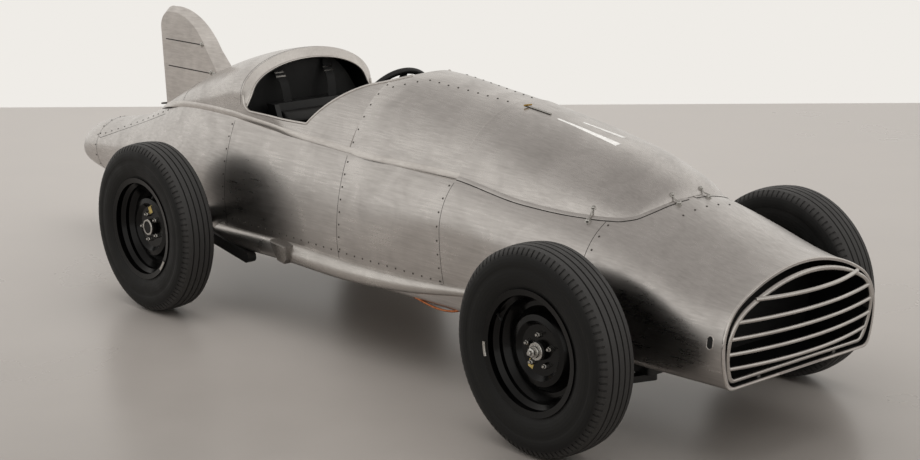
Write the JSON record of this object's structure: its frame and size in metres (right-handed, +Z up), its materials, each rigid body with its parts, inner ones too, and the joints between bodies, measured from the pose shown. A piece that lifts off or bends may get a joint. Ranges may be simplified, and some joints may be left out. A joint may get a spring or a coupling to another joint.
{
  "type": "open wheel racing car",
  "caption": "Streamlined single-seat open wheel racing car in bare aluminium, with a tail fin, a slatted oval grille, a lift-off bonnet and steered wheels.",
  "frame": {"origin": "on the ground, in the middle of the car's length and width", "axes": "+X points forward, +Y to the car's left, +Z up"},
  "size_m": [4.6284, 1.4658, 1.1952],
  "materials": {
    "bare_aluminium": "brushed, unpainted",
    "polished_tube": "polished tube",
    "cast_alloy": "as cast",
    "radiator_black": "matt black",
    "black_paint": "satin black",
    "black_leather": "worn",
    "cast_iron": "painted",
    "chassis_black": "satin black",
    "copper": "dull copper",
    "black_grip": "smooth black",
    "tyre": "matt rubber",
    "gloss_black_steel": "gloss black",
    "drum_steel": "satin black"
  },
  "bodies": {
    "chassis": {"nose_shell": "bare_aluminium", "side_panels_front": "bare_aluminium", "side_panels_mid": "bare_aluminium", "side_panels_rear": "bare_aluminium", "undertray": "bare_aluminium", "tail_shell": "bare_aluminium", "cockpit_shell": "bare_aluminium", "cowl": "bare_aluminium", "fin": "bare_aluminium", "grille": "polished_tube", "sill_tubes": "bare_aluminium", "sill_scoops": "cast_alloy", "radiator": "radiator_black", "firewall": "black_paint", "rear_bulkhead": "black_paint", "steering_column": "black_paint", "dash": "black_paint", "seat": "black_leather", "engine_block": "cast_iron", "front_frame": "chassis_black", "front_crossmember": "chassis_black", "front_lower_arms": "chassis_black", "front_upper_arms": "chassis_black", "rear_axle": "chassis_black", "rear_arms": "chassis_black", "copper_pipe": "copper"},
    "bonnet": {"bonnet": "bare_aluminium"},
    "steering": {"steering_wheel": "black_grip"},
    "knuckle_left": {"knuckle_left": "chassis_black"},
    "knuckle_right": {"knuckle_right": "chassis_black"},
    "track_rod": {"track_rod": "chassis_black"},
    "wheel_front_left": {"tyre_front_left": "tyre", "rim_front_left": "gloss_black_steel", "drum_front_left": "drum_steel"},
    "wheel_front_right": {"tyre_front_right": "tyre", "rim_front_right": "gloss_black_steel", "drum_front_right": "drum_steel"},
    "wheel_rear_left": {"tyre_rear_left": "tyre", "rim_rear_left": "gloss_black_steel", "drum_rear_left": "drum_steel"},
    "wheel_rear_right": {"tyre_rear_right": "tyre", "rim_rear_right": "gloss_black_steel", "drum_rear_right": "drum_steel"}
  },
  "joints": [
    {"name": "bonnet_lift", "type": "slide", "parent": "chassis", "child": "bonnet", "axis": [0, 0, 1], "range_m": [0, 0.5]},
    {"name": "steer_left", "type": "hinge", "parent": "chassis", "child": "knuckle_left", "pos_m": [1.66775, 0.54, 0.365], "axis": [0, 0, 1], "range_deg": [-20, 20]},
    {"name": "steer_right", "type": "hinge", "parent": "chassis", "child": "knuckle_right", "pos_m": [1.66775, -0.54, 0.365], "axis": [0, 0, 1], "range_deg": [-20, 20]},
    {"name": "steering_wheel_turn", "type": "hinge", "parent": "chassis", "child": "steering", "pos_m": [0.10275, 0, 0.9], "axis": [-0.9063, 0, 0.4226], "range_deg": [-240, 240]},
    {"name": "track_rod_slide", "type": "slide", "parent": "chassis", "child": "track_rod", "axis": [0, 1, 0], "range_m": [-0.05, 0.05]},
    {"name": "spin_front_left", "type": "hinge", "parent": "knuckle_left", "child": "wheel_front_left", "pos_m": [1.66775, 0.645, 0.365], "axis": [0, 1, 0], "continuous": true},
    {"name": "spin_front_right", "type": "hinge", "parent": "knuckle_right", "child": "wheel_front_right", "pos_m": [1.66775, -0.645, 0.365], "axis": [0, 1, 0], "continuous": true},
    {"name": "spin_rear_left", "type": "hinge", "parent": "chassis", "child": "wheel_rear_left", "pos_m": [-0.73225, 0.65, 0.365], "axis": [0, 1, 0], "continuous": true},
    {"name": "spin_rear_right", "type": "hinge", "parent": "chassis", "child": "wheel_rear_right", "pos_m": [-0.73225, -0.65, 0.365], "axis": [0, 1, 0], "continuous": true}
  ],
  "couplings": [
    {"joint": "steer_right", "follows": "steer_left", "ratio": 1},
    {"joint": "steering_wheel_turn", "follows": "steer_left", "ratio": 12},
    {"joint": "track_rod_slide", "follows": "steer_left", "m_per_rad": -0.13717}
  ]
}
